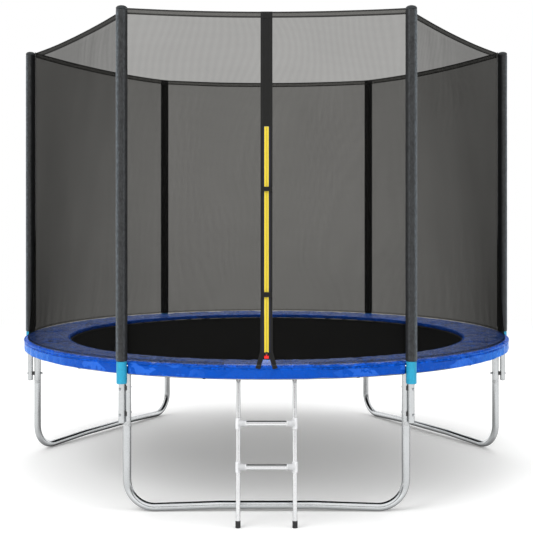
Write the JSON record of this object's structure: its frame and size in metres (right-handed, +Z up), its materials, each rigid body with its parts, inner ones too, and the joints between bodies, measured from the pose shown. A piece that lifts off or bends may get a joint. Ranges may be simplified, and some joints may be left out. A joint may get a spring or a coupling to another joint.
{
  "type": "backyard trampoline",
  "caption": "Round backyard trampoline: sprung mat, blue padded cover, tubular legs, mesh enclosure on foam-sleeved poles with a zipped entry, and a hooked ladder.",
  "frame": {"origin": "on the ground under the centre of the mat", "axes": "+Z up; the zipped entry and the ladder face -Y; +X is to the right of someone facing the entry from outside"},
  "size_m": [3.1584, 3.147, 2.616],
  "materials": {
    "galvanised_tube": "galvanised, smooth",
    "zinc_steel": "zinc plated",
    "black_foam": "textured foam",
    "cyan_foam": "textured foam",
    "black_plastic": "moulded",
    "white_plastic": "moulded",
    "grey_plastic": "moulded",
    "red_plastic": "moulded",
    "black_mat": "woven, matt",
    "black_webbing": "woven",
    "grey_webbing": "woven",
    "blue_vinyl": "coated, glossy",
    "black_net": "open mesh",
    "yellow_tape": "woven",
    "yellow_coil": "moulded",
    "ladder_paint": "powder coated",
    "black_rubber": "matt"
  },
  "bodies": {
    "frame": {"rail_front": "galvanised_tube", "rail_front_right": "galvanised_tube", "rail_back_right": "galvanised_tube", "rail_back": "galvanised_tube", "rail_back_left": "galvanised_tube", "rail_front_left": "galvanised_tube", "leg_base_front": "galvanised_tube", "leg_base_right": "galvanised_tube", "leg_base_left": "galvanised_tube", "leg_upright_front_left": "galvanised_tube", "leg_upright_front_right": "galvanised_tube", "leg_upright_side_right": "galvanised_tube", "leg_upright_back_right": "galvanised_tube", "leg_upright_back_left": "galvanised_tube", "leg_upright_side_left": "galvanised_tube", "pole_lower_front_left": "galvanised_tube", "pole_lower_front_right": "galvanised_tube", "pole_lower_side_right": "galvanised_tube", "pole_lower_back_right": "galvanised_tube", "pole_lower_back_left": "galvanised_tube", "pole_lower_side_left": "galvanised_tube", "pole_uppers": "galvanised_tube", "foam_sleeve_front_left": "black_foam", "foam_sleeve_front_right": "black_foam", "foam_sleeve_side_right": "black_foam", "foam_sleeve_back_right": "black_foam", "foam_sleeve_back_left": "black_foam", "foam_sleeve_side_left": "black_foam", "pole_cuffs": "cyan_foam", "pole_caps": "black_plastic", "pole_end_plugs": "black_plastic", "pole_bolts": "zinc_steel", "pole_bolt_nuts": "zinc_steel", "pole_spacers": "white_plastic", "springs": "zinc_steel", "pad": "blue_vinyl", "pad_straps": "black_webbing", "net_walls": "black_net", "net_door_left": "black_net", "net_door_right": "black_net", "net_top_band": "grey_webbing", "net_ties": "black_webbing", "net_hem": "black_webbing", "zip_bands": "black_webbing", "zip_tape": "yellow_tape", "zip_coil": "yellow_coil", "door_straps": "black_webbing"},
    "mat": {"mat": "black_mat", "mat_webbing": "black_webbing", "spring_rings": "zinc_steel"},
    "zip_slider": {"zip_slider": "black_plastic"},
    "zip_pull": {"zip_tag": "red_plastic"},
    "ladder": {"ladder_rail_left": "ladder_paint", "ladder_rail_right": "ladder_paint", "ladder_rungs": "ladder_paint", "ladder_joints": "grey_plastic", "ladder_hooks": "ladder_paint", "ladder_feet": "black_rubber"}
  },
  "joints": [
    {"name": "mat_bounce", "type": "slide", "parent": "frame", "child": "mat", "axis": [0, 0, -1], "range_m": [-0.004, 0.15], "stiffness_N_per_m": 9000, "deforming": ["springs"]},
    {"name": "zip_travel", "type": "slide", "parent": "frame", "child": "zip_slider", "axis": [0, 0.1022, 0.9948], "range_m": [0, 1.1]},
    {"name": "zip_pull_flip", "type": "hinge", "parent": "zip_slider", "child": "zip_pull", "pos_m": [0, -1.516, 0.83893], "axis": [-1, 0, 0], "range_deg": [0, 80]},
    {"name": "ladder_swing", "type": "hinge", "parent": "frame", "child": "ladder", "pos_m": [0, -1.49546, 0.731], "axis": [-1, 0, 0], "range_deg": [0, 12]}
  ]
}
